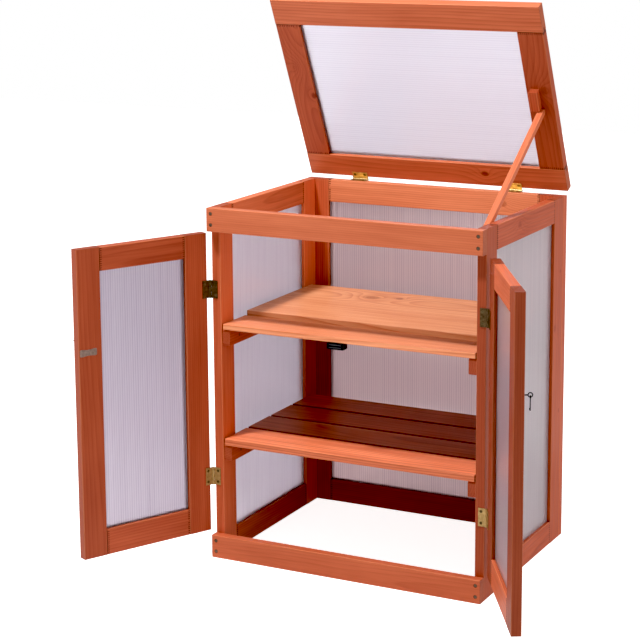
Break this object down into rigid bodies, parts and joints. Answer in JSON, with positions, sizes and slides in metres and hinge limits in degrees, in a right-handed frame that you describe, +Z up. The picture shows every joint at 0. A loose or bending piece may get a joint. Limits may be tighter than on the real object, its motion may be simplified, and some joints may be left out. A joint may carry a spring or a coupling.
{
  "type": "mini greenhouse",
  "caption": "Small wooden greenhouse cabinet with fluted twin-wall sheets, a pair of hinged doors, a lid held up by a stick, and two slatted shelves.",
  "frame": {"origin": "on the floor, in the middle of the front bottom rail's underside", "axes": "+X to the greenhouse's right as seen from the front, +Y to its back, +Z up"},
  "size_m": [0.9877, 0.7531, 1.1809],
  "materials": {
    "stained_wood": "orange-brown stain, satin",
    "twin_wall_sheet": "translucent fluted sheet",
    "brass": "plated, bright",
    "dark_brass": "antiqued",
    "black_steel": "black, satin",
    "black_plastic": "matt"
  },
  "bodies": {
    "cabinet": {"back_bottom_rail": "stained_wood", "back_left_stile": "stained_wood", "back_right_stile": "stained_wood", "back_sheet": "twin_wall_sheet", "back_top_rail": "stained_wood", "catch": "black_plastic", "front_bottom_rail": "stained_wood", "front_top_rail": "stained_wood", "left_door_lower_hinge_post_leaf": "brass", "left_door_upper_hinge_post_leaf": "dark_brass", "left_side_bottom_rail": "stained_wood", "left_side_front_stile": "stained_wood", "left_side_rear_stile": "stained_wood", "left_side_sheet": "twin_wall_sheet", "left_side_top_rail": "stained_wood", "lid_left_hinge_back_leaf": "brass", "lid_right_hinge_back_leaf": "brass", "lower_cleat_left": "stained_wood", "lower_cleat_right": "stained_wood", "lower_slat_1": "stained_wood", "lower_slat_2": "stained_wood", "lower_slat_3": "stained_wood", "lower_slat_4": "stained_wood", "right_door_lower_hinge_post_leaf": "brass", "right_door_upper_hinge_post_leaf": "dark_brass", "right_side_bottom_rail": "stained_wood", "right_side_front_stile": "stained_wood", "right_side_rear_stile": "stained_wood", "right_side_sheet": "twin_wall_sheet", "right_side_top_rail": "stained_wood", "upper_cleat_left": "stained_wood", "upper_cleat_right": "stained_wood", "upper_front_slat": "stained_wood", "upper_rear_board": "stained_wood"},
    "left_door": {"left_door_bottom_rail": "stained_wood", "left_door_free_stile": "stained_wood", "left_door_hinge_stile": "stained_wood", "left_door_lower_hinge_door_leaf": "brass", "left_door_sheet": "twin_wall_sheet", "left_door_top_rail": "stained_wood", "left_door_upper_hinge_door_leaf": "dark_brass", "left_eye": "black_steel"},
    "right_door": {"right_door_bottom_rail": "stained_wood", "right_door_free_stile": "stained_wood", "right_door_hinge_stile": "stained_wood", "right_door_lower_hinge_door_leaf": "brass", "right_door_sheet": "twin_wall_sheet", "right_door_top_rail": "stained_wood", "right_door_upper_hinge_door_leaf": "dark_brass", "right_eye": "black_steel"},
    "hook": {"hook": "black_steel"},
    "lid": {"lid_front_rail": "stained_wood", "lid_left_hinge_lid_leaf": "brass", "lid_left_stile": "stained_wood", "lid_rear_rail": "stained_wood", "lid_right_hinge_lid_leaf": "brass", "lid_right_stile": "stained_wood", "lid_sheet": "twin_wall_sheet", "stop_block": "stained_wood"},
    "prop": {"prop_stick": "stained_wood"}
  },
  "joints": [
    {"name": "left_door_hinge", "type": "hinge", "parent": "cabinet", "child": "left_door", "pos_m": [-0.315, 0.0084, 0.38], "axis": [0, 0, -1], "range_deg": [-116.5, 83.5]},
    {"name": "right_door_hinge", "type": "hinge", "parent": "cabinet", "child": "right_door", "pos_m": [0.315, 0.0084, 0.38], "axis": [0, 0, 1], "range_deg": [-120.5, 79.5]},
    {"name": "hook_swing", "type": "hinge", "parent": "right_door", "child": "hook", "pos_m": [0.49773, -0.23562, 0.5078], "axis": [-0.8616, -0.5075, 0], "range_deg": [-90, 110]},
    {"name": "lid_hinge", "type": "hinge", "parent": "cabinet", "child": "lid", "pos_m": [0, 0.465, 0.7616], "axis": [-1, 0, 0], "range_deg": [-64.7, 0]},
    {"name": "stick_fold", "type": "hinge", "parent": "lid", "child": "prop", "pos_m": [0.282, 0.21338, 0.87272], "axis": [1, 0, 0], "range_deg": [-88, 0]}
  ],
  "couplings": [
    {"joint": "stick_fold", "follows": "lid_hinge", "ratio": 1.36}
  ]
}
